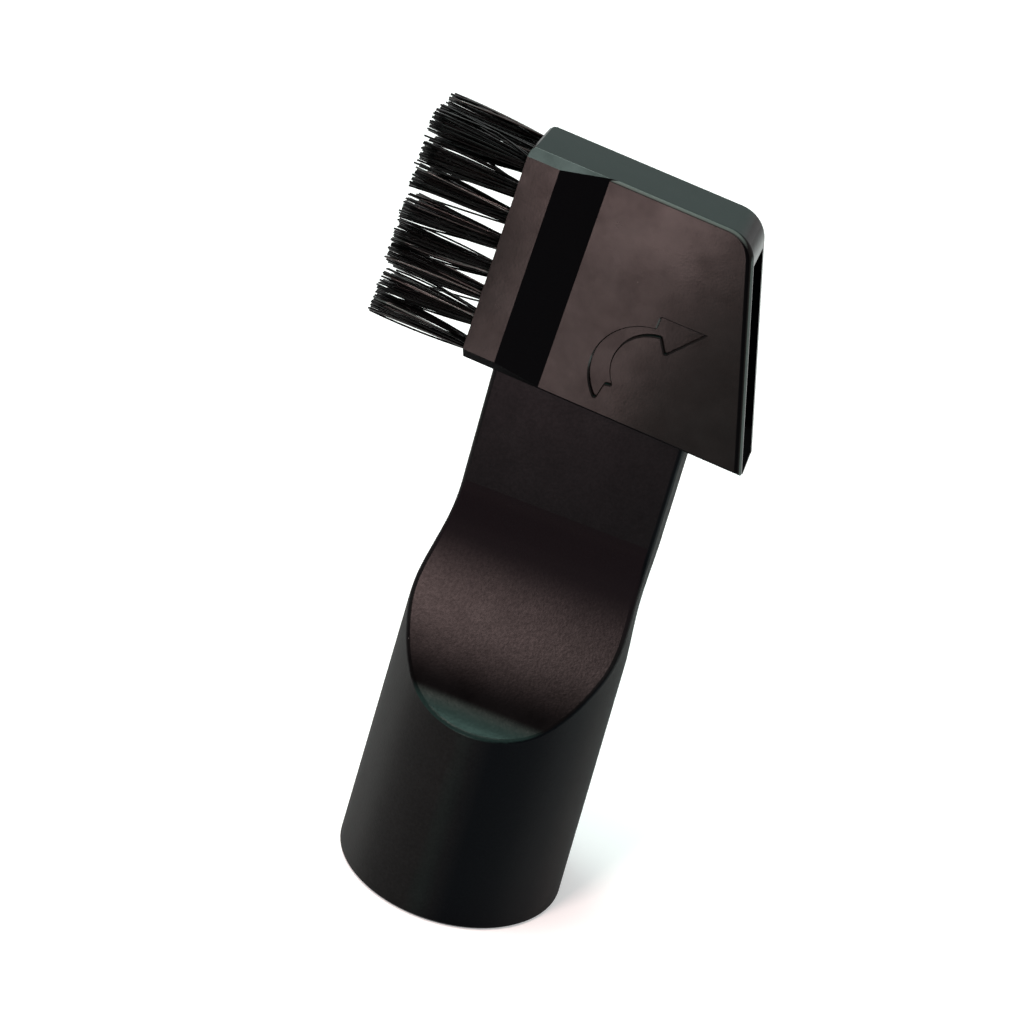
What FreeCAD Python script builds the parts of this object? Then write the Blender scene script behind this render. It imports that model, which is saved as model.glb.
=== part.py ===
import FreeCAD, Part
import math
import os

V = FreeCAD.Vector

# Millimetres. The tool stands on its socket mouth: Z runs up the tube towards the tip,
# the scooped front faces -Y and the brush points to -X.

# Socket tube
bore_r = 16.0
socket_wall = 2.25
tube_draft = 0.0133
bore_depth = 28.0
stop_step = 0.7
mouth_chamfer = 0.5
bore_lead = 0.5

# Flat nozzle and its change from the round tube
nozzle_half_w = 15.93
nozzle_front = 5.4
nozzle_depth = 6.6
nozzle_edge_r = 1.2
nozzle_crown = 0.02
side_wall = 1.3
broad_wall = 1.2
morph_start = 44.0
morph_side_end = 62.0
morph_end = 68.0
morph_steps = 6
corner_span = 20.0

# Scoop in the front, as lines in the YZ plane that run across the whole width
lip_z = 35.3
lip_slope = 33.0
ramp_slope = 48.4
ramp_z = 54.0
lip_arc = 15.0
ramp_arc = 10.0
scoop_wall = 1.8
rim_round = 0.8

# Swivel
pivot_z = 99.96
stud_r = 4.0
stud_run = 0.05
swing_gap = 0.3
head_turn = 3.0

# Brush head, measured from the swivel axis before the head is turned
plate_t = 1.25
tip_room = 3.17
top_wall = 1.5
head_bottom = -16.45
head_side_bottom = 26.4
side_slant = 16.0
side_draft = 0.6
back_drop = 3.95
head_corner = 5.0
wrap_end = 16.25
block_t = 3.55
block_face = 5.24
bevel_w = 7.27
block_rise = 1.97
crest_drop = 1.0
low_chamfer = 0.5
block_back_round = 1.2
top_edge_r = 0.5
side_edge_r = 1.0
back_chamfer = 0.4

# Air slot and bristles
slot_w = 3.6
slot_margin = 6.0
tufts_per_row = 8
tuft_pitch = 4.55
tuft_inset = 1.6
tuft_hole_r = 1.1
tuft_hole_depth = 2.8
tuft_root_r = 1.04
tuft_tip_r = 1.95
tuft_len = 15.8
tuft_sides = 10
anchor_t = 0.3
anchor_h = 1.2
anchor_gap = 0.03

# Arrow sunk into the front plate, as points from the swivel axis
arrow_depth = 0.6
arrow_corner = 0.25
arrow_chamfer = 0.2
arrow_tail = (1.40, -14.01)
arrow_outer_mid = (-0.49, -4.79)
arrow_outer_end = (6.71, 0.91)
arrow_barb_top = (6.81, 3.10)
arrow_tip = (13.97, 3.17)
arrow_barb_low = (9.20, -2.53)
arrow_inner_start = (7.80, -0.10)
arrow_inner_mid = (2.51, -3.84)
arrow_inner_end = (3.29, -10.75)
arrow_notch = (2.00, -11.05)

spare = 5.0
rim_tol = 0.001
scoop_kinds = ("Part::GeomPlane", "Part::GeomCylinder")
full_turn = 360.0
quarter = 90.0
x_dir = V(1, 0, 0)
y_dir = V(0, 1, 0)
z_dir = V(0, 0, 1)
origin = V(0, 0, 0)

mouth_r = bore_r + socket_wall
nozzle_back = nozzle_front + nozzle_depth
plate_front = nozzle_front - swing_gap - plate_t
plate_back = nozzle_back + swing_gap + plate_t
block_front = plate_front - block_rise
inside_left = -nozzle_half_w - swing_gap
block_left = inside_left - block_t
head_top = nozzle_half_w + swing_gap + tip_room + top_wall
duct_r = bore_r - stop_step


def tube_r(z):
    return mouth_r - tube_draft * z


def smooth(u):
    u = max(0.0, min(1.0, u))
    return u * u * (3 - 2 * u)


def face_of(edges):
    return Part.Face(Part.Wire(edges))


def polygon(points):
    return Part.Face(Part.makePolygon(points + [points[0]]))


def rounded_corner(before, corner, after, radius):
    """Tangent points and middle of the arc that rounds one corner of an outline."""
    a = (before - corner).normalize()
    b = (after - corner).normalize()
    half = math.acos(max(-1.0, min(1.0, a.dot(b)))) / 2
    reach = radius / math.tan(half)
    axis = (a + b).normalize()
    mid = corner + axis * (radius / math.sin(half) - radius)
    return corner + a * reach, mid, corner + b * reach


def section(radius, half_w, back, front, corner, z, side_share, depth_share):
    """Closed outline of eight arcs, part way from a circle to a rounded rectangle."""
    angles = []
    box = []
    centres = [(half_w - corner, back - corner), (corner - half_w, back - corner),
               (corner - half_w, corner - front), (half_w - corner, corner - front)]
    middles = [(0, back + nozzle_crown), (-half_w - nozzle_crown, (back - front) / 2),
               (0, -front - nozzle_crown), (half_w + nozzle_crown, (back - front) / 2)]
    for k in range(4):
        for step in (-1, 0, 1):
            angles.append(quarter * (k + 0.5) + corner_span * step)
            turn = math.radians(quarter * (k + 0.5 + 0.5 * step))
            box.append((centres[k][0] + corner * math.cos(turn), centres[k][1] + corner * math.sin(turn)))
        angles.append(quarter * (k + 1))
        box.append(middles[k])
    points = []
    for angle, (bx, by) in zip(angles, box):
        cx = radius * math.cos(math.radians(angle))
        cy = radius * math.sin(math.radians(angle))
        points.append(V(cx + (bx - cx) * side_share, cy + (by - cy) * depth_share, z))
    count = len(points)
    arcs = []
    for i in range(0, count, 2):
        arcs.append(Part.Arc(points[i], points[i + 1], points[(i + 2) % count]).toShape())
    return Part.Wire(arcs)


def morph(radius, half_w, back, front, corner):
    """Smooth change from the round tube to the flat nozzle, with the straight nozzle above it."""
    wires = []
    for i in range(morph_steps + 1):
        z = morph_start + (morph_end - morph_start) * i / morph_steps
        side = smooth((z - morph_start) / (morph_side_end - morph_start))
        deep = smooth((z - morph_start) / (morph_end - morph_start))
        wires.append(section(radius, half_w, back, front, corner, z, side, deep))
    lower = Part.makeLoft(wires, True, False)
    upper = Part.Face(wires[-1]).extrude(z_dir * (pivot_z + nozzle_half_w + spare - morph_end))
    return lower.fuse(upper)


def scoop_tool(offset):
    """Everything in front of the scoop; a positive offset moves its surface back into the body."""
    lip_dir = V(0, math.cos(math.radians(lip_slope)), math.sin(math.radians(lip_slope)))
    ramp_dir = V(0, math.cos(math.radians(ramp_slope)), math.sin(math.radians(ramp_slope)))
    lip_in = V(0, lip_dir.z, -lip_dir.y)
    ramp_in = V(0, ramp_dir.z, -ramp_dir.y)
    flat_y = nozzle_front + offset * broad_wall / scoop_wall
    lip_at = V(0, -tube_r(lip_z), lip_z) + lip_in * offset
    ramp_at = V(0, 0, ramp_z) + ramp_in * offset
    # Where the lip line and the ramp line cross, and where the ramp meets the flat
    cross = (ramp_at - lip_at).cross(ramp_dir).x / lip_dir.cross(ramp_dir).x
    low = lip_at + lip_dir * cross
    high = ramp_at + ramp_dir * ((flat_y - ramp_at.y) / ramp_dir.y)
    start = lip_at - lip_dir * spare
    top = V(0, flat_y, pivot_z + nozzle_half_w + spare + spare)
    front_top = V(0, -mouth_r - spare, top.z)
    front_low = V(0, -mouth_r - spare, start.z)
    a0, am, a1 = rounded_corner(start, low, high, lip_arc + offset)
    b0, bm, b1 = rounded_corner(low, high, top, ramp_arc + offset)
    edges = [Part.makeLine(start, a0), Part.Arc(a0, am, a1).toShape(), Part.makeLine(a1, b0),
             Part.Arc(b0, bm, b1).toShape(), Part.makeLine(b1, top), Part.makeLine(top, front_top),
             Part.makeLine(front_top, front_low), Part.makeLine(front_low, start)]
    width = mouth_r + spare
    profile = face_of(edges)
    profile.translate(x_dir * -width)
    return profile.extrude(x_dir * (width + width))


def across(radius, y_from, y_to):
    """Round bar along Y on the swivel axis."""
    return Part.makeCylinder(radius, y_to - y_from, V(0, y_from, pivot_z), y_dir)


def scoop_rim(body):
    """Edges where the scoop and the flat front meet the outside of the tube and nozzle."""
    rim = []
    for face in body.Faces:
        u0, u1, v0, v1 = face.ParameterRange
        normal = face.normalAt((u0 + u1) / 2, (v0 + v1) / 2)
        if abs(normal.x) > rim_tol or normal.y > -rim_tol or face.Surface.TypeId not in scoop_kinds:
            continue
        if face.Surface.TypeId == "Part::GeomCylinder" and abs(face.Surface.Axis.x) < 1 - rim_tol:
            continue
        for e in face.Edges:
            straight_across = e.BoundBox.YLength + e.BoundBox.ZLength < rim_tol
            if not straight_across and e.BoundBox.ZMax < pivot_z + rim_tol:
                rim.append(e)
    return rim


def make_nozzle():
    tube = Part.makeCone(mouth_r, tube_r(morph_start), morph_start)
    rim = [e for e in tube.Edges if e.BoundBox.ZMax < rim_tol and e.Curve.TypeId == "Part::GeomCircle"]
    tube = tube.makeChamfer(mouth_chamfer, rim)
    outer = tube.fuse(morph(tube_r(morph_start), nozzle_half_w, nozzle_back, mouth_r, nozzle_edge_r))
    reach = mouth_r + spare
    below = Part.makeBox(reach + reach, reach + reach, pivot_z, V(-reach, -reach, 0))
    outer = outer.common(below.fuse(across(nozzle_half_w, -reach, reach)))
    outer = outer.cut(scoop_tool(0.0))
    outer = outer.removeSplitter()
    outer = outer.makeFillet(rim_round, scoop_rim(outer))
    duct = Part.makeCylinder(duct_r, morph_start)
    duct = duct.fuse(morph(duct_r, nozzle_half_w - side_wall, nozzle_back - broad_wall, duct_r,
                           nozzle_edge_r))
    duct = duct.cut(scoop_tool(scoop_wall))
    body = outer.cut(duct)
    body = body.cut(Part.makeCylinder(bore_r, bore_depth))
    body = body.cut(Part.makeCone(bore_r + bore_lead, bore_r, bore_lead))
    body = body.cut(across(stud_r + stud_run, nozzle_front - spare, nozzle_back + spare))
    return body.removeSplitter()


def side_x(z):
    """Slanted right side of the head outline at a height above the swivel axis."""
    return head_side_bottom - (z - head_bottom) * math.tan(math.radians(side_slant))


def head_outline(left, inset):
    """Outline of the plates with one rounded corner, drawn inward by an inset on the top and right."""
    top = head_top - inset
    shift = inset / math.cos(math.radians(side_slant))
    low_left = V(left, 0, head_bottom)
    low_right = V(side_x(head_bottom) - shift, 0, head_bottom)
    corner = V(side_x(top) - shift, 0, top)
    high_left = V(left, 0, top)
    c0, cm, c1 = rounded_corner(low_right, corner, high_left, head_corner - inset)
    return face_of([Part.makeLine(low_left, low_right), Part.makeLine(low_right, c0),
                    Part.Arc(c0, cm, c1).toShape(), Part.makeLine(c1, high_left),
                    Part.makeLine(high_left, low_left)])


def drafted(left, inset, y_from, y_to):
    """Plate outline between two depths; its right side leans inward towards the back."""
    lean = V(-side_draft / (plate_back - plate_front), 1, 0)
    outline = head_outline(left, inset)
    outline.translate(y_dir * plate_front + lean * (y_from - plate_front))
    keep = Part.makeBox(head_side_bottom - left, y_to - y_from, head_top - head_bottom,
                        V(left, y_from, head_bottom))
    return outline.extrude(lean * (y_to - y_from)).common(keep)


def slab(face, y_from, y_to):
    lifted = face.copy()
    lifted.translate(y_dir * y_from)
    return lifted.extrude(y_dir * (y_to - y_from))


def rectangle(x0, x1, z0, z1, y):
    return Part.makePolygon([V(x0, y, z0), V(x1, y, z0), V(x1, y, z1), V(x0, y, z1), V(x0, y, z0)])


def at(point, y):
    return V(point[0], y, point[1])


def make_arrow():
    """Curved arrow with rounded corners and a sharp tip, as deep as it is sunk into the plate."""
    y = plate_front + arrow_depth
    outer = Part.Arc(at(arrow_tail, y), at(arrow_outer_mid, y), at(arrow_outer_end, y)).toShape()
    inner = Part.Arc(at(arrow_inner_start, y), at(arrow_inner_mid, y), at(arrow_inner_end, y)).toShape()
    lines = [arrow_outer_end, arrow_barb_top, arrow_tip, arrow_barb_low, arrow_inner_start]
    edges = [outer]
    for a, b in zip(lines, lines[1:]):
        edges.append(Part.makeLine(at(a, y), at(b, y)))
    edges.append(inner)
    edges.append(Part.makeLine(at(arrow_inner_end, y), at(arrow_notch, y)))
    edges.append(Part.makeLine(at(arrow_notch, y), at(arrow_tail, y)))
    arrow = face_of(edges).extrude(y_dir * -(arrow_depth + spare))
    corners = []
    for e in arrow.Edges:
        across_plate = e.BoundBox.XLength + e.BoundBox.ZLength < rim_tol
        if across_plate and e.CenterOfMass.distanceToPoint(at(arrow_tip, e.CenterOfMass.y)) > rim_tol:
            corners.append(e)
    return arrow.makeFillet(arrow_corner, corners)


def rim_on_plate(body, arrow):
    """Edges where the arrow opens into the face of the front plate."""
    room = arrow.BoundBox
    picked = []
    for e in body.Edges:
        box = e.BoundBox
        flat = box.YLength < rim_tol and abs(box.YMin - plate_front) < rim_tol
        if flat and room.isInside(e.CenterOfMass) and box.DiagonalLength < room.DiagonalLength:
            picked.append(e)
    return picked


def tuft_places():
    """Row name, number, depth and height of every tuft: two rows, and one between their top ends."""
    front = block_front + tuft_inset
    rear = plate_back - tuft_inset
    middle = (head_top + head_bottom) / 2
    first = middle - tuft_pitch * (tufts_per_row - 1) / 2
    places = []
    for row, y in (("front", front), ("rear", rear)):
        for i in range(tufts_per_row):
            places.append((row, i + 1, y, first + tuft_pitch * i))
    places.append(("end", 1, (front + rear) / 2, first + tuft_pitch * (tufts_per_row - 1)))
    return places


def make_block():
    """Raised brush block: a wedge that slopes back to the plate, with its top end sloped too."""
    crest_right = block_left + block_face
    foot_right = crest_right + bevel_w
    wedge = polygon([V(block_left, plate_front, head_bottom), V(foot_right, plate_front, head_bottom),
                     V(crest_right, block_front, head_bottom), V(block_left, block_front, head_bottom)])
    wedge = wedge.extrude(z_dir * (head_top - head_bottom))
    ends = polygon([V(block_left, plate_front, head_bottom), V(block_left, block_front, head_bottom),
                    V(block_left, block_front, head_top - crest_drop),
                    V(block_left, plate_front, head_top)])
    return wedge.common(ends.extrude(x_dir * (foot_right - block_left)))


def low_front_cut():
    """Everything in front of the slanted plane that takes off the lower front edge of plate and block."""
    reach = low_chamfer + block_rise + spare
    y = plate_front + low_chamfer
    side = polygon([V(block_left - spare, y, head_bottom), V(block_left - spare, y - reach, head_bottom),
                    V(block_left - spare, y - reach, head_bottom + reach)])
    return side.extrude(x_dir * (head_side_bottom - block_left + spare + spare))


def round_front(body):
    """Rounds the front plate from the foot of the block on, and grows the rounding along the corner."""
    foot_right = block_left + block_face + bevel_w
    doc = FreeCAD.newDocument()
    base = doc.addObject("Part::Feature")
    base.Shape = body
    edges = []
    for i, e in enumerate(body.Edges):
        box = e.BoundBox
        flat = box.YLength < rim_tol and abs(box.YMin - plate_front) < rim_tol
        beside = box.XMin > foot_right - rim_tol and box.XMax > foot_right + rim_tol
        if not flat or not beside or box.ZMax < head_bottom + rim_tol:
            continue
        radii = []
        for p in e.ParameterRange:
            on_top = e.valueAt(p).z > head_top - rim_tol
            radii.append(top_edge_r if on_top else side_edge_r)
        edges.append((i + 1, radii[0], radii[1]))
    rounded = doc.addObject("Part::Fillet")
    rounded.Base = base
    rounded.Edges = edges
    doc.recompute()
    return rounded.Shape.copy()


def back_edges(body):
    """Edges of a back face, without its seams: the left one and the one the back lip hangs from."""
    picked = []
    for e in body.Edges:
        box = e.BoundBox
        left = box.XMax < block_left + block_back_round + rim_tol
        seam = box.ZLength < rim_tol and abs(box.ZMin - head_bottom) < rim_tol
        if box.YMin > plate_back - rim_tol and not left and not seam:
            picked.append(e)
    return picked


def back_lip():
    """Back plate below the front one, which covers the back of the nozzle as the head turns."""
    left = block_left + block_back_round
    right = side_x(head_bottom) - side_draft
    face = Part.Face(rectangle(left, right, head_bottom - back_drop, head_bottom, 0.0))
    lip = slab(face, nozzle_back + swing_gap, plate_back)
    return lip.makeChamfer(back_chamfer, back_edges(lip))


def make_head():
    body = drafted(block_left, 0.0, plate_front, plate_back)
    corner = []
    for e in body.Edges:
        if e.BoundBox.XMax < block_left + rim_tol and e.BoundBox.YMin > plate_back - rim_tol:
            corner.append(e)
    body = body.makeFillet(block_back_round, corner)
    body = body.fuse(make_block()).removeSplitter()
    body = round_front(body)
    body = body.cut(low_front_cut())
    body = body.makeChamfer(back_chamfer, back_edges(body))
    room = drafted(inside_left, top_wall, nozzle_front - swing_gap, nozzle_back + swing_gap)
    way = rectangle(inside_left, head_side_bottom + spare, head_bottom - spare, wrap_end, 0.0)
    room = room.fuse(slab(Part.Face(way), nozzle_front - swing_gap, nozzle_back + swing_gap))
    body = body.cut(room)
    body = body.fuse(back_lip())
    slot_y = (block_front + plate_back - slot_w) / 2
    slot = rectangle(block_left - spare, inside_left + spare, head_bottom + slot_margin,
                     head_top - slot_margin, 0.0)
    body = body.cut(slab(Part.Face(slot), slot_y, slot_y + slot_w))
    for row, number, y, z in tuft_places():
        body = body.cut(Part.makeCylinder(tuft_hole_r, tuft_hole_depth, V(block_left, y, z), x_dir))
    stud_len = swing_gap + broad_wall - swing_gap / 2
    for y, way_in in ((nozzle_front - swing_gap, y_dir), (nozzle_back + swing_gap, y_dir * -1)):
        body = body.fuse(Part.makeCylinder(stud_r, stud_len, V(0, y, 0), way_in))
    arrow = make_arrow()
    body = body.cut(arrow).removeSplitter()
    return body.makeChamfer(arrow_chamfer, rim_on_plate(body, arrow))


def ring(radius, x, y, z):
    """Corners of a flat-sided outline round a tuft at one place along it."""
    points = []
    for i in range(tuft_sides):
        turn = math.radians(full_turn * i / tuft_sides)
        points.append(V(x, y + radius * math.cos(turn), z + radius * math.sin(turn)))
    return points


def make_tuft(y, z):
    """One bundle of bristles with flat sides: straight in its hole, then opening out to the tip."""
    rings = [ring(tuft_root_r, block_left + tuft_hole_depth - anchor_gap, y, z),
             ring(tuft_root_r, block_left, y, z),
             ring(tuft_tip_r, block_left - tuft_len, y, z)]
    faces = [polygon(rings[0]), polygon(rings[-1])]
    for near, far in zip(rings, rings[1:]):
        for i in range(tuft_sides):
            faces.append(polygon([near[i - 1], near[i], far[i], far[i - 1]]))
    shell = Part.Shell(faces)
    shell.sewShape()
    bundle = Part.Solid(shell)
    if bundle.Volume < 0:
        bundle.reverse()
    return bundle.cut(anchor(y, z, anchor_gap))


def anchor(y, z, gap):
    width = tuft_hole_r + tuft_hole_r - anchor_gap - anchor_gap
    deep = block_left + tuft_hole_depth
    return Part.makeBox(anchor_h + gap, anchor_t + gap + gap, width + gap + gap,
                        V(deep - anchor_h - gap - anchor_gap, y - anchor_t / 2 - gap,
                          z - width / 2 - gap))


def place(shape):
    """Turns a head piece to its stored pose and lifts it to the swivel."""
    shape.rotate(origin, y_dir, head_turn)
    shape.translate(z_dir * pivot_z)
    return shape


def save(name, shape):
    shape.exportStep("parts/" + name + ".step")


os.makedirs("parts", exist_ok=True)
save("nozzle_body", make_nozzle())
save("brush_head", place(make_head()))
anchors = []
for row, number, y, z in tuft_places():
    save("bristle_tuft_" + row + "_" + str(number), place(make_tuft(y, z)))
    anchors.append(place(anchor(y, z, 0.0)))
save("tuft_anchors", Part.makeCompound(anchors))
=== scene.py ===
import math
import random

import bpy
from mathutils import Matrix, Vector


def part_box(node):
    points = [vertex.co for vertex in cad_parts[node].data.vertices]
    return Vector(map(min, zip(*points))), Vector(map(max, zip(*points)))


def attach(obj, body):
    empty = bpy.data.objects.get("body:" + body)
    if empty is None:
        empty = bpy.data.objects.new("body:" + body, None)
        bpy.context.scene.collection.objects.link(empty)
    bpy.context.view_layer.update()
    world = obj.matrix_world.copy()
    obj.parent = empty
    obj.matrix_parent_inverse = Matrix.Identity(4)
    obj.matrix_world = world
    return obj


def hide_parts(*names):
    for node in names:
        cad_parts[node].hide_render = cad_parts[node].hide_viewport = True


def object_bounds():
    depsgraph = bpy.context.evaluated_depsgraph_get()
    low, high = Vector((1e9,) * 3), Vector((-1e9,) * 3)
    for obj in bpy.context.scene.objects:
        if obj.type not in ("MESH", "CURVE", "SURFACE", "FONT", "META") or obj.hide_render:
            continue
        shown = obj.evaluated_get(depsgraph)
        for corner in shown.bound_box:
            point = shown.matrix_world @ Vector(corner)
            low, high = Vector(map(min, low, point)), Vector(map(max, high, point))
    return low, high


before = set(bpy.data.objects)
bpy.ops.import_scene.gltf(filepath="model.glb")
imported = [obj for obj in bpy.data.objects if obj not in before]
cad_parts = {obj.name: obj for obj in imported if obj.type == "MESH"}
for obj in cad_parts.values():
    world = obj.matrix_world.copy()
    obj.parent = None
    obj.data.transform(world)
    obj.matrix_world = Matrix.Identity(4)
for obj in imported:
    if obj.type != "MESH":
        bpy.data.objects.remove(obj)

# Metres, in the frame of the solids: Z up the tube, the scooped front to -Y, the brush to -X.
cad_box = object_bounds()
MM = 0.001

# Directions in that frame
RIGHT = (1.0, 0.0, 0.0)
LEFT = (-1.0, 0.0, 0.0)
FRONT = (0.0, -1.0, 0.0)
BACK = (0.0, 1.0, 0.0)
UP = (0.0, 0.0, 1.0)
FRONT_UP = (0.0, -math.sqrt(0.5), math.sqrt(0.5))
FRONT_DOWN = (0.0, -math.sqrt(0.5), -math.sqrt(0.5))

# Camera
VIEW_TARGET = Vector((-5.919, 0.0, 64.544)) * MM
VIEW_DISTANCE = 600.0 * MM
VIEW_AZIMUTH = math.radians(9.991)
VIEW_ELEVATION = math.radians(29.77)
VIEW_ROLL = math.radians(16.028)
SENSOR_WIDTH = 36.0
LENS = 137.57

# How far the head stands turned about the swivel
HEAD_TURN = math.radians(3.0)

# How far to the right of the front some faces look, seen from above: the head's bevel and the
# tube's right side, which get painted shade, and the right rim of the head's front plate, which
# gets a painted highlight
BEVEL_SIDE = math.radians(22.0)
TUBE_SIDE = math.radians(36.0)
RIM_SIDE = math.radians(66.0)

# Masks by direction: the share of a face's normal along the direction where the mask is 0, and
# where it is 1
SCOOP_FACING = (0.752, 0.775)
TUBE_FACING = (0.80, 0.93)
BEVEL_FACING = (0.945, 0.966)
UNDER_FACING = (0.90, 0.95)
EDGE_FACING = (0.80, 0.95)
RIM_FACING = (0.92, 0.96)
TOP_FACING = (0.80, 0.95)
PLATE_FACING = (0.90, 0.95)

# The tube's sides take these masks as their roughness, so 1 lies out of reach
RIGHT_FACING = (0.3, 1.35)
LEFT_FACING = (0.3, 1.3)

# Scoop of the nozzle: how its ramp slopes, and where along Z its painted highlight band lies, its
# lip ends and the flat nozzle begins
RAMP_SLOPE = math.radians(48.4)
HIGHLIGHT_BAND_Z = 47.9 * MM
HIGHLIGHT_BAND_REACH = 9.0 * MM
LIP_LOW = 36.8 * MM
LIP_HIGH = 38.6 * MM
FLAT_LOW = 56.0 * MM
FLAT_HIGH = 62.0 * MM

# Front edge of the head's top wall, where a painted highlight line runs: how deep along Y it
# begins, and how high up the head it lies
EDGE_FRONT = 3.85 * MM
EDGE_HIGH = 117.0 * MM

# Right of this along X lies the outer edge of the head's front plate, which gets a painted
# highlight
RIM_X = 15.3 * MM

# Inner faces of the head's two plates, along Y; between them the plates' faces get painted shade
INSIDE_FRONT = 5.1 * MM
INSIDE_BACK = 12.3 * MM

# Over this length a mask by place goes from 0 to 1
MASK_SOFT = 0.1 * MM

# Noises: scale, detail and, where it isn't the usual one, roughness
CLOUD_NOISE = (170.0, 5.0, 0.62)
GRAIN_NOISE = (2600.0, 2.0)
WAVE_NOISE = (120.0, 2.0)
DUST_NOISE = (90.0, 2.0)
SPECKLE_NOISE = (2000.0, 2.0)
SMUDGE_NOISE = (75.0, 9.0, 0.74)
STREAK_NOISE = (260.0, 2.0)
STEEL_NOISE = (1800.0, 3.0)

# The part of a noise's values that is used
NARROW = (0.35, 0.65)
WIDE = (0.3, 0.7)
SMUDGE_RANGE = (0.34, 0.6)
STREAK_RANGE = (0.35, 0.7)

# Dust: how dense its cells are, how large the speck in a cell is, and which areas have any
DUST_CELLS = 420.0
DUST_SPECK = (0.025, 0.05)
DUST_AREA = (0.58, 0.62)
DUST_TONE = (0.05, 0.046, 0.044)

# Finish of the two mouldings. A tone is a base colour, a shine a tint of the reflection, and the
# roughness goes from the dark clouds to the light ones.
WHITE = (1.0, 1.0, 1.0)
BLACK = (0.0, 0.0, 0.0)
GRAIN_DEPTH = 0.02 * MM

NOZZLE_DARK = (0.0016, 0.0014, 0.0015)
NOZZLE_LIGHT = (0.0032, 0.0028, 0.003)
NOZZLE_ROUGH = (0.30, 0.27)
NOZZLE_SPECULAR = 0.07
NOZZLE_WAVE = 0.008 * MM
NOZZLE_GRAIN = 0.7
# Painted brownish reflection on the scoop's upper arc, as a base colour
ARC_PAINTED_REFLECTION_TONE = (0.0062, 0.0049, 0.0058)
# Painted greenish reflection on the scoop's lip, as a base colour
LIP_PAINTED_REFLECTION_TONE = (0.006, 0.013, 0.012)
# Painted shade on the tube where it turns right: a blacker base
TUBE_PAINTED_SHADE_TONE = (0.0007, 0.0009, 0.0012)
# Painted shade: a weaker reflection on the flat nozzle
FLAT_PAINTED_SHADE_SHINE = (0.62, 0.60, 0.66)
# Painted shade: reflection almost taken away on the scoop above and below its painted highlight
# band
PAINTED_DIM_SHINE = (0.02, 0.02, 0.02)
# Painted greenish reflection on the lip, as a tint of the reflection
LIP_PAINTED_REFLECTION_SHINE = (0.72, 1.0, 0.93)
# Painted shade on the tube where it turns right: a weaker, bluer reflection
TUBE_PAINTED_SHADE_SHINE = (0.28, 0.34, 0.42)
SPECKLE_SHARE = 0.3

HEAD_DARK = (0.0026, 0.0021, 0.002)
HEAD_LIGHT = (0.0058, 0.0047, 0.0044)
HEAD_ROUGH = (0.18, 0.12)
HEAD_SPECULAR = 0.08
HEAD_WAVE = 0.03 * MM
HEAD_GRAIN = 0.3
# Painted greenish reflection on faces that look up
TOP_PAINTED_REFLECTION_TONE = (0.002, 0.0095, 0.0082)
# Painted highlight along the top wall's front edge and the front plate's right rim
EDGE_PAINTED_HIGHLIGHT_TONE = (0.060, 0.078, 0.072)
# Painted shade on the bevel, the lower chamfer and the plates' inner faces: black base, almost no
# reflection
PAINTED_SHADE_TONE = (0.0012, 0.0012, 0.0014)
PAINTED_SHADE_SHINE = (0.1, 0.1, 0.12)
SMUDGE_SHINE = (0.62, 0.60, 0.60)

# Finish of the filaments. Each has a number from 0 to 1, and the highest ones are brown, grey or
# shiny.
STRAND_DARK = (0.0003, 0.0004, 0.0004)
STRAND_LIGHT = (0.0016, 0.0019, 0.0019)
STRAND_BROWN = (0.012, 0.0085, 0.0075)
STRAND_GREY = (0.018, 0.024, 0.022)
BROWN_FROM = (0.86, 0.88)
GREY_FROM = (0.95, 0.96)
GLINT_FROM = (0.82, 0.96)
GLINT_LEAST = 0.03
STRAND_ROUGH = (0.2, 0.32)
STRAND_SPECULAR = 0.4

# Finish of the anchors
STEEL_DARK = (0.45, 0.43, 0.40)
STEEL_LIGHT = (0.66, 0.64, 0.60)
STEEL_ROUGH = (0.3, 0.5)

# Bristles
STRANDS = 34
STRAND_R = 0.15 * MM
STRAND_SIDES = 6
STRAND_STEPS = 7
ROOT_END = 0.2 * MM
TIP_END = 0.3 * MM
HOLE_DEPTH = 2.77 * MM
ROOT_DEPTH = 1.5 * MM
ROOT_SPREAD = 0.86 * MM
TIP_SPREAD = 1.8 * MM
TIP_JITTER = 0.3 * MM
STRAY_SHARE = 0.14
STRAY_JITTER = 1.2 * MM
GOLDEN_ANGLE = math.pi * (3.0 - math.sqrt(5.0))
TURN_JITTER = 0.2
LENGTH_LOSS = 0.02
OPENING = 1.6
BOW = 0.3 * MM
TUFT_LEAN = 0.8 * MM
EDGE_ROOM = 0.05 * MM
SEED = 7

# Floor, surroundings and lights
FLOOR_SIZE = 30.0
FLOOR_TONE = 0.80
FLOOR_ROUGH = 0.9
FLOOR_LIFT = 0.36
ROOM_LEVEL = 0.45
WARM = (1.0, 0.70, 0.67)
COOL = (0.80, 1.0, 0.94)

# Power of a panel for each square metre and unit of radiance
PANEL_POWER = 4.0

# Name, place, aim, width, height, radiance and colour of each panel. The ramp and the plate mirror
# the warm ones in front; the cool ones stand above, behind and beside.
LIGHTS = (
    ("front_key", (-0.10, -0.268, 0.40), (-0.002, -0.004, 0.05), 0.085, 0.075, 50.0, WARM),
    ("low_fill", (-0.039, -0.226, 0.018), (-0.039, -0.206, 0.118), 0.052, 0.044, 13.0, WARM),
    ("low_card", (-0.0325, -0.153, 0.018), (-0.0325, -0.133, 0.118), 0.033, 0.076, 7.5, WARM),
    ("overhead", (-0.20, -0.01, 0.95), (-0.20, 0.0, 0.05), 0.28, 0.42, 16.0, COOL),
    ("rear_panel", (-0.08, 0.75, 0.52), (0.0, 0.0, 0.1), 0.8, 0.5, 0.2, COOL),
    ("side_card", (0.165, 0.035, 0.012), (0.155, 0.035, 0.112), 0.14, 0.09, 4.0, COOL),
)


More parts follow.
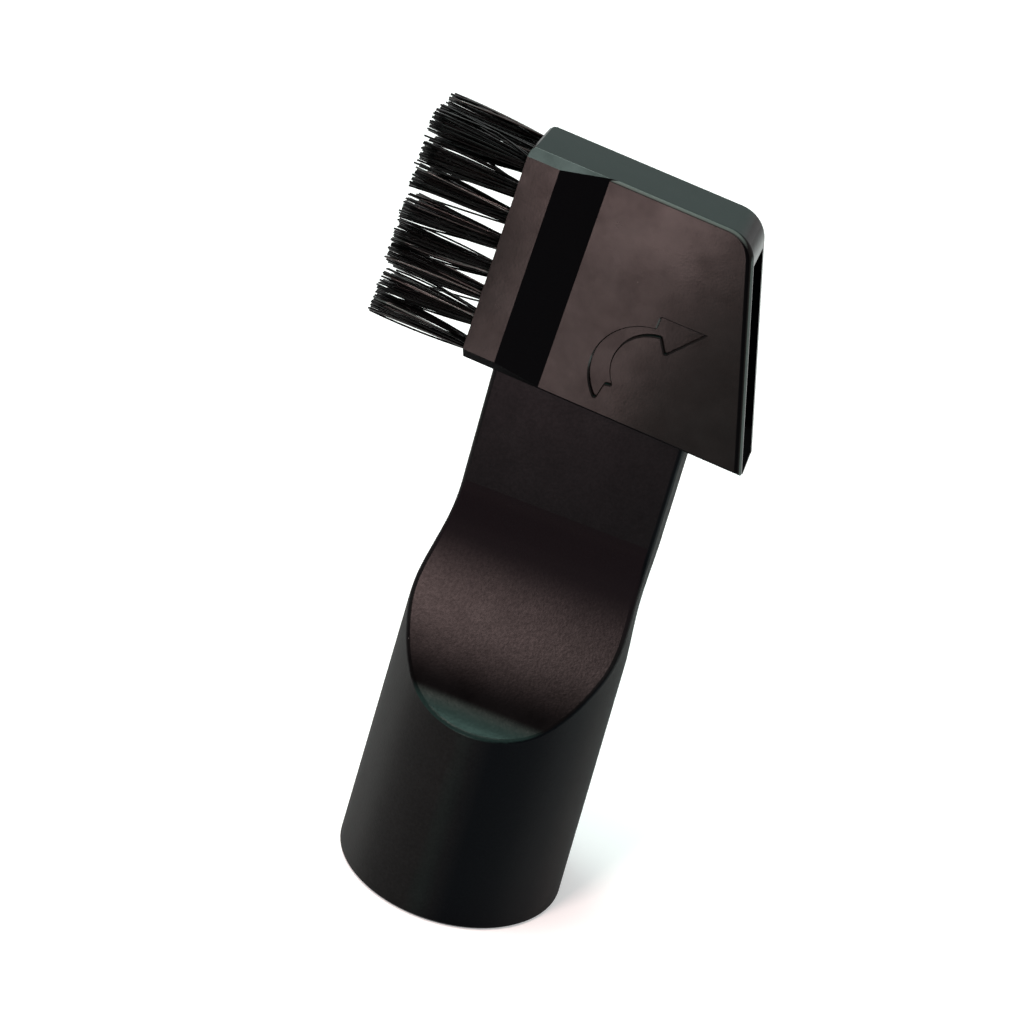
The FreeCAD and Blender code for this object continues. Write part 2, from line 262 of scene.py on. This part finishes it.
def view_axes():
    """Right, up and back of the camera."""
    side = Vector((math.cos(VIEW_AZIMUTH), math.sin(VIEW_AZIMUTH), 0.0))
    back = Vector((math.sin(VIEW_AZIMUTH) * math.cos(VIEW_ELEVATION),
                   -math.cos(VIEW_AZIMUTH) * math.cos(VIEW_ELEVATION), math.sin(VIEW_ELEVATION)))
    over = back.cross(side)
    right = side * math.cos(VIEW_ROLL) + over * math.sin(VIEW_ROLL)
    up = over * math.cos(VIEW_ROLL) - side * math.sin(VIEW_ROLL)
    return right, up, back


def matrix_of(right, up, back, place):
    return Matrix(((right.x, up.x, back.x, place.x), (right.y, up.y, back.y, place.y),
                   (right.z, up.z, back.z, place.z), (0.0, 0.0, 0.0, 1.0)))


def link(obj):
    bpy.context.scene.collection.objects.link(obj)
    return obj


def add_camera():
    data = bpy.data.cameras.new("camera")
    data.sensor_width = SENSOR_WIDTH
    data.lens = LENS
    camera = link(bpy.data.objects.new("camera", data))
    right, up, back = view_axes()
    camera.matrix_world = matrix_of(right, up, back, VIEW_TARGET + back * VIEW_DISTANCE)
    bpy.context.scene.camera = camera


class Nodes:
    """A material's node tree, with short calls to add and join nodes."""

    def __init__(self, name):
        self.material = bpy.data.materials.new(name)
        self.material.use_nodes = True
        self.tree = self.material.node_tree
        self.shader = self.tree.nodes["Principled BSDF"]
        self.coords = self.tree.nodes.new("ShaderNodeTexCoord")

    def add(self, kind, **settings):
        node = self.tree.nodes.new(kind)
        for key, value in settings.items():
            setattr(node, key, value)
        return node

    def join(self, source, target):
        self.tree.links.new(source, target)

    def shade(self, name, source):
        self.join(source, self.shader.inputs[name])

    def noise(self, scale, detail, roughness=0.5):
        node = self.add("ShaderNodeTexNoise")
        node.inputs["Scale"].default_value = scale
        node.inputs["Detail"].default_value = detail
        node.inputs["Roughness"].default_value = roughness
        self.join(self.coords.outputs["Object"], node.inputs["Vector"])
        return node.outputs["Fac"]

    def spots(self, scale):
        """Distance from the middle of the nearest scattered cell, in cells."""
        node = self.add("ShaderNodeTexVoronoi")
        node.inputs["Scale"].default_value = scale
        self.join(self.coords.outputs["Object"], node.inputs["Vector"])
        return node.outputs["Distance"]

    def spread(self, value, low, high, to_low, to_high, curve="LINEAR"):
        """A value stretched from one range to another and held inside it."""
        node = self.add("ShaderNodeMapRange", interpolation_type=curve)
        node.inputs["From Min"].default_value = low
        node.inputs["From Max"].default_value = high
        node.inputs["To Min"].default_value = to_low
        node.inputs["To Max"].default_value = to_high
        self.join(value, node.inputs["Value"])
        return node.outputs["Result"]

    def both(self, operation, a, b):
        node = self.add("ShaderNodeMath", operation=operation)
        self.join(a, node.inputs[0])
        self.join(b, node.inputs[1])
        return node.outputs["Value"]

    def times(self, a, b):
        return self.both("MULTIPLY", a, b)

    def larger(self, a, b):
        return self.both("MAXIMUM", a, b)

    def along(self, output, direction):
        """Share of a coordinate output, such as the normal, along a direction of the object."""
        node = self.add("ShaderNodeVectorMath", operation="DOT_PRODUCT")
        node.inputs[1].default_value = direction
        self.join(self.coords.outputs[output], node.inputs[0])
        return node.outputs["Value"]

    def facing(self, direction, low, high):
        """1 where the surface faces along a direction of the object, 0 where it turns away."""
        return self.spread(self.along("Normal", direction), low, high, 0.0, 1.0)

    def past(self, value, edge):
        """1 from an edge on, 0 before it."""
        return self.spread(value, edge - MASK_SOFT, edge, 0.0, 1.0)

    def before(self, value, edge):
        """1 before an edge, 0 from it on."""
        return self.spread(value, edge - MASK_SOFT, edge, 1.0, 0.0)

    def mix(self, share, colour_a, colour_b):
        node = self.add("ShaderNodeMix", data_type="RGBA")
        self.join(share, node.inputs["Factor"])
        for slot, colour in (("A", colour_a), ("B", colour_b)):
            socket = [s for s in node.inputs if s.name == slot and s.type == "RGBA"][0]
            if isinstance(colour, tuple):
                socket.default_value = (*colour, 1.0)
            else:
                self.join(colour, socket)
        return [s for s in node.outputs if s.type == "RGBA"][0]

    def bump(self, height, distance, strength, under=None):
        node = self.add("ShaderNodeBump")
        node.inputs["Distance"].default_value = distance
        node.inputs["Strength"].default_value = strength
        self.join(height, node.inputs["Height"])
        if under is not None:
            self.join(under, node.inputs["Normal"])
        return node.outputs["Normal"]


def moulded_plastic(name, dark, light, rough, specular, wave_depth, grain_share):
    """Black moulded plastic: cloudy tone, fine eroded grain, a slow waviness and a little dust.

    Tone and roughness are handed back, and joined to the shader once their masks are in.
    """
    tree = Nodes(name)
    cloud = tree.noise(*CLOUD_NOISE)
    grain = tree.noise(*GRAIN_NOISE)
    wave = tree.noise(*WAVE_NOISE)
    dust = tree.times(tree.spread(tree.spots(DUST_CELLS), *DUST_SPECK, 1.0, 0.0),
                      tree.spread(tree.noise(*DUST_NOISE), *DUST_AREA, 0.0, 1.0))
    tone = tree.mix(tree.spread(cloud, *NARROW, 0.0, 1.0), dark, light)
    tone = tree.mix(dust, tone, DUST_TONE)
    tree.shader.inputs["Specular IOR Level"].default_value = specular
    slow = tree.bump(wave, wave_depth, 1.0)
    tree.shade("Normal", tree.bump(grain, GRAIN_DEPTH, grain_share, slow))
    return tree, tone, tree.spread(cloud, *WIDE, *rough)


def turned_right(angle):
    """Direction that looks out of the front and to the right by an angle, square to the head."""
    return (math.sin(angle) * math.cos(HEAD_TURN), -math.cos(angle),
            -math.sin(angle) * math.sin(HEAD_TURN))


def nozzle_plastic():
    """The nozzle's plastic.

    A highlight band is painted across the middle of the scoop by dimming the reflection above and
    below it and on the flat nozzle; the scoop's upper arc gets a painted brownish reflection tone
    and its lip a painted greenish reflection; the tube gets painted shade (a blacker base and a
    weaker reflection) where it turns right, and is duller at its sides.
    """
    tree, tone, rough = moulded_plastic("nozzle_plastic", NOZZLE_DARK, NOZZLE_LIGHT, NOZZLE_ROUGH,
                                        NOZZLE_SPECULAR, NOZZLE_WAVE, NOZZLE_GRAIN)
    height = tree.along("Object", UP)
    scoop = tree.facing((0.0, -math.sin(RAMP_SLOPE), math.cos(RAMP_SLOPE)), *SCOOP_FACING)
    above = tree.spread(height, HIGHLIGHT_BAND_Z, HIGHLIGHT_BAND_Z + HIGHLIGHT_BAND_REACH, 0.0, 1.0, "SMOOTHSTEP")
    below = tree.spread(height, HIGHLIGHT_BAND_Z - HIGHLIGHT_BAND_REACH, HIGHLIGHT_BAND_Z, 1.0, 0.0, "SMOOTHSTEP")
    # Painted highlight band: the scoop's reflection is dimmed above and below its middle
    outside_highlight_band = tree.times(scoop, tree.larger(above, below))
    arc = tree.times(scoop, above)
    # Painted greenish reflection on the lip
    lip = tree.times(scoop, tree.spread(height, LIP_LOW, LIP_HIGH, 1.0, 0.0, "SMOOTHSTEP"))
    # Painted shade: the flat nozzle reflects less than the rest
    flat = tree.spread(height, FLAT_LOW, FLAT_HIGH, 0.0, 1.0)
    speckle = tree.spread(tree.noise(*SPECKLE_NOISE), *NARROW, 0.0, SPECKLE_SHARE)
    # Painted shade on the tube where it turns right
    painted_shade_mask = tree.facing(turned_right(TUBE_SIDE), *TUBE_FACING)
    sides = tree.larger(tree.facing(RIGHT, *RIGHT_FACING), tree.facing(LEFT, *LEFT_FACING))

    # Painted brownish reflection tone on the scoop's upper arc
    tone = tree.mix(arc, tone, ARC_PAINTED_REFLECTION_TONE)
    tone = tree.mix(lip, tone, LIP_PAINTED_REFLECTION_TONE)
    tree.shade("Base Color", tree.mix(painted_shade_mask, tone, TUBE_PAINTED_SHADE_TONE))
    shine = tree.mix(outside_highlight_band, tree.mix(flat, WHITE, FLAT_PAINTED_SHADE_SHINE), PAINTED_DIM_SHINE)
    shine = tree.mix(lip, shine, LIP_PAINTED_REFLECTION_SHINE)
    shine = tree.mix(speckle, shine, BLACK)
    tree.shade("Specular Tint", tree.mix(painted_shade_mask, shine, TUBE_PAINTED_SHADE_SHINE))
    tree.shade("Roughness", tree.larger(rough, sides))
    return tree.material


def head_plastic():
    """The head's plastic.

    Its bevel, its lower chamfer and the plates' inner faces get painted shade (a black base and
    hardly any reflection), its top faces a painted greenish reflection, and a painted highlight
    line runs along the top wall's front edge and the front plate's right rim.
    """
    tree, tone, rough = moulded_plastic("head_plastic", HEAD_DARK, HEAD_LIGHT, HEAD_ROUGH,
                                        HEAD_SPECULAR, HEAD_WAVE, HEAD_GRAIN)
    width = tree.along("Object", RIGHT)
    depth = tree.along("Object", BACK)
    height = tree.along("Object", (math.sin(HEAD_TURN), 0.0, math.cos(HEAD_TURN)))
    bevel = tree.facing(turned_right(BEVEL_SIDE), *BEVEL_FACING)
    under = tree.facing(FRONT_DOWN, *UNDER_FACING)
    # Painted greenish reflection on faces that look up
    top = tree.facing(UP, *TOP_FACING)
    # Painted highlight line along the top wall's front edge and the front plate's right rim
    edge = tree.times(tree.past(depth, EDGE_FRONT), tree.past(height, EDGE_HIGH))
    edge = tree.times(edge, tree.facing(FRONT_UP, *EDGE_FACING))
    rim = tree.times(tree.before(depth, INSIDE_FRONT), tree.past(width, RIM_X))
    rim = tree.times(rim, tree.facing(turned_right(RIM_SIDE), *RIM_FACING))
    between = tree.times(tree.past(depth, INSIDE_FRONT),
                         tree.before(depth, INSIDE_BACK + MASK_SOFT))
    flat = tree.larger(tree.facing(BACK, *PLATE_FACING), tree.facing(FRONT, *PLATE_FACING))
    # Painted shade on the bevel, the lower chamfer and the plates' inner faces
    painted_shade_mask = tree.larger(tree.larger(bevel, under), tree.times(between, flat))
    smudge = tree.spread(tree.noise(*SMUDGE_NOISE), *SMUDGE_RANGE, 0.0, 1.0)

    tone = tree.mix(top, tone, TOP_PAINTED_REFLECTION_TONE)
    tone = tree.mix(tree.larger(edge, rim), tone, EDGE_PAINTED_HIGHLIGHT_TONE)
    tree.shade("Base Color", tree.mix(painted_shade_mask, tone, PAINTED_SHADE_TONE))
    shine = tree.mix(smudge, SMUDGE_SHINE, WHITE)
    tree.shade("Specular Tint", tree.mix(painted_shade_mask, shine, PAINTED_SHADE_SHINE))
    tree.shade("Roughness", tree.larger(rough, under))
    return tree.material


def bristle_nylon():
    """Black filament; a few strands are brownish or grey, and the tone shifts along each one."""
    tree = Nodes("bristle_nylon")
    strand = tree.add("ShaderNodeAttribute", attribute_name="strand").outputs["Fac"]
    streak = tree.noise(*STREAK_NOISE)
    tone = tree.mix(tree.spread(streak, *STREAK_RANGE, 0.0, 1.0), STRAND_DARK, STRAND_LIGHT)
    tone = tree.mix(tree.spread(strand, *BROWN_FROM, 0.0, 1.0), tone, STRAND_BROWN)
    tone = tree.mix(tree.spread(strand, *GREY_FROM, 0.0, 1.0), tone, STRAND_GREY)
    glint = tree.spread(strand, *GLINT_FROM, GLINT_LEAST, 1.0)
    tree.shade("Base Color", tone)
    tree.shade("Specular Tint", tree.mix(glint, BLACK, WHITE))
    tree.shade("Roughness", tree.spread(streak, *WIDE, *STRAND_ROUGH))
    tree.shader.inputs["Specular IOR Level"].default_value = STRAND_SPECULAR
    return tree.material


def anchor_steel():
    """Drawn steel of the tuft anchors."""
    tree = Nodes("anchor_steel")
    grain = tree.noise(*STEEL_NOISE)
    share = tree.spread(grain, *WIDE, 0.0, 1.0)
    tree.shade("Base Color", tree.mix(share, STEEL_DARK, STEEL_LIGHT))
    tree.shade("Roughness", tree.spread(grain, *WIDE, *STEEL_ROUGH))
    tree.shader.inputs["Metallic"].default_value = 1.0
    return tree.material


def tuft_axis(node):
    """Where a tuft leaves the block, its direction and its free length, from its solid's ends."""
    low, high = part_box(node)
    points = [v.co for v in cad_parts[node].data.vertices]
    root_end = [p for p in points if p.x > high.x - ROOT_END]
    tip_end = [p for p in points if p.x < low.x + TIP_END]
    root = sum(root_end, Vector()) / len(root_end)
    tip = sum(tip_end, Vector()) / len(tip_end)
    along = (tip - root).normalized()
    face = root + along * HOLE_DEPTH
    return face, along, (tip - face).length


def tuft_mesh(name, node, material, rng):
    """A bundle of filaments that leave one hole close together and spread towards their tips."""
    face, along, length = tuft_axis(node)
    across = Vector(BACK)
    up = across.cross(along)
    lean = up * rng.uniform(-TUFT_LEAN, TUFT_LEAN) + across * rng.uniform(-TUFT_LEAN, TUFT_LEAN)
    ceiling = cad_box[1][2] - STRAND_R - EDGE_ROOM
    verts = []
    faces = []
    tones = []
    for k in range(STRANDS):
        # The strands fill the hole evenly, as seeds fill a sunflower
        reach = math.sqrt((k + 0.5) / STRANDS)
        turn = k * GOLDEN_ANGLE + rng.uniform(-TURN_JITTER, TURN_JITTER)
        way = across * math.cos(turn) + up * math.sin(turn)
        side = up * math.cos(turn) - across * math.sin(turn)
        jitter = STRAY_JITTER if rng.random() < STRAY_SHARE else TIP_JITTER
        wander = across * rng.gauss(0.0, jitter) + up * rng.gauss(0.0, jitter)
        run = length * (1.0 - LENGTH_LOSS * rng.random() ** 2)
        root = way * (reach * ROOT_SPREAD)
        spread = way * (reach * TIP_SPREAD) + wander + lean
        bow = way * rng.uniform(-BOW, BOW) + side * rng.uniform(-BOW, BOW)
        tone = rng.random()
        first = len(verts)
        for i in range(STRAND_STEPS + 1):
            share = i / STRAND_STEPS
            opened = 1.0 - (1.0 - share) ** OPENING
            # The bow is full halfway along and nothing at both ends
            bowed = 4.0 * share * (1.0 - share)
            middle = face + along * (share * (run + ROOT_DEPTH) - ROOT_DEPTH)
            middle = middle + root.lerp(spread, opened) + bow * bowed
            middle.z = min(middle.z, ceiling)
            for j in range(STRAND_SIDES):
                angle = 2.0 * math.pi * j / STRAND_SIDES
                verts.append(middle + (across * math.cos(angle) + up * math.sin(angle)) * STRAND_R)
                tones.append(tone)
        for i in range(STRAND_STEPS):
            for j in range(STRAND_SIDES):
                a = first + i * STRAND_SIDES + j
                b = first + i * STRAND_SIDES + (j + 1) % STRAND_SIDES
                faces.append((a, b, b + STRAND_SIDES, a + STRAND_SIDES))
        last = first + STRAND_STEPS * STRAND_SIDES
        faces.append(tuple(range(last, last + STRAND_SIDES)))
        faces.append(tuple(range(first + STRAND_SIDES - 1, first - 1, -1)))
    mesh = bpy.data.meshes.new(name)
    mesh.from_pydata(verts, [], faces)
    mesh.materials.append(material)
    mesh.attributes.new("strand", "FLOAT", "POINT").data.foreach_set("value", tones)
    # The walls have four corners each and are smooth, the ends have more and are flat
    for polygon in mesh.polygons:
        polygon.use_smooth = len(polygon.vertices) < STRAND_SIDES
    return link(bpy.data.objects.new(name, mesh))


def add_bristles():
    """A bundle of filaments in place of each solid tuft."""
    nylon = bristle_nylon()
    rng = random.Random(SEED)
    for node in [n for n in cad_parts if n.startswith("bristle_tuft_")]:
        piece = tuft_mesh(node.replace("bristle_tuft", "bristles"), node, nylon, rng)
        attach(piece, "head")
        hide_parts(node)


def area_light(name, place, aim, width, height, radiance, colour):
    """A soft panel; its power follows from how bright its face is."""
    data = bpy.data.lights.new(name, "AREA")
    data.shape = "RECTANGLE"
    data.size = width
    data.size_y = height
    data.energy = PANEL_POWER * width * height * radiance
    data.color = colour
    lamp = link(bpy.data.objects.new(name, data))
    lamp.location = place
    lamp.rotation_euler = (Vector(aim) - Vector(place)).to_track_quat("-Z", "Y").to_euler()


def seen_by_view(tree):
    """1 for rays from the camera, and for what is mirrored or seen through, else 0."""
    path = tree.nodes.new("ShaderNodeLightPath")
    seen = path.outputs["Is Camera Ray"]
    for name in ("Is Glossy Ray", "Is Transmission Ray"):
        larger = tree.nodes.new("ShaderNodeMath")
        larger.operation = "MAXIMUM"
        tree.links.new(seen, larger.inputs[0])
        tree.links.new(path.outputs[name], larger.inputs[1])
        seen = larger.outputs["Value"]
    return seen


def add_floor(height):
    """Plain white paper, lifted to white where it is seen, which still takes the part's shadow."""
    half = FLOOR_SIZE / 2
    corners = [(-half, -half, height), (half, -half, height),
               (half, half, height), (-half, half, height)]
    mesh = bpy.data.meshes.new("floor")
    mesh.from_pydata(corners, [], [(0, 1, 2, 3)])
    floor = link(bpy.data.objects.new("floor", mesh))
    material = bpy.data.materials.new("floor_paper")
    material.use_nodes = True
    tree = material.node_tree
    shader = tree.nodes["Principled BSDF"]
    shader.inputs["Base Color"].default_value = (FLOOR_TONE, FLOOR_TONE, FLOOR_TONE, 1.0)
    shader.inputs["Roughness"].default_value = FLOOR_ROUGH
    shader.inputs["Specular IOR Level"].default_value = 0.0
    shader.inputs["Emission Color"].default_value = (*WHITE, 1.0)
    lift = tree.nodes.new("ShaderNodeMath")
    lift.operation = "MULTIPLY"
    lift.inputs[1].default_value = FLOOR_LIFT
    tree.links.new(seen_by_view(tree), lift.inputs[0])
    tree.links.new(lift.outputs["Value"], shader.inputs["Emission Strength"])
    mesh.materials.append(material)


def add_world():
    """Surroundings that are seen as white and give the part less light than that."""
    world = bpy.data.worlds.new("studio")
    bpy.context.scene.world = world
    world.use_nodes = True
    tree = world.node_tree
    background = tree.nodes["Background"]
    background.inputs["Color"].default_value = (*WHITE, 1.0)
    level = tree.nodes.new("ShaderNodeMapRange")
    level.inputs["To Min"].default_value = ROOM_LEVEL
    level.inputs["To Max"].default_value = 1.0
    tree.links.new(seen_by_view(tree), level.inputs["Value"])
    tree.links.new(level.outputs["Result"], background.inputs["Strength"])


def paint(node, material):
    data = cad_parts[node].data
    data.materials.clear()
    data.materials.append(material)


add_camera()
paint("nozzle_body", nozzle_plastic())
paint("brush_head", head_plastic())
paint("tuft_anchors", anchor_steel())
add_bristles()
add_floor(cad_box[0][2])
add_world()
for panel in LIGHTS:
    area_light(*panel)

bpy.context.scene.view_settings.view_transform = "Standard"
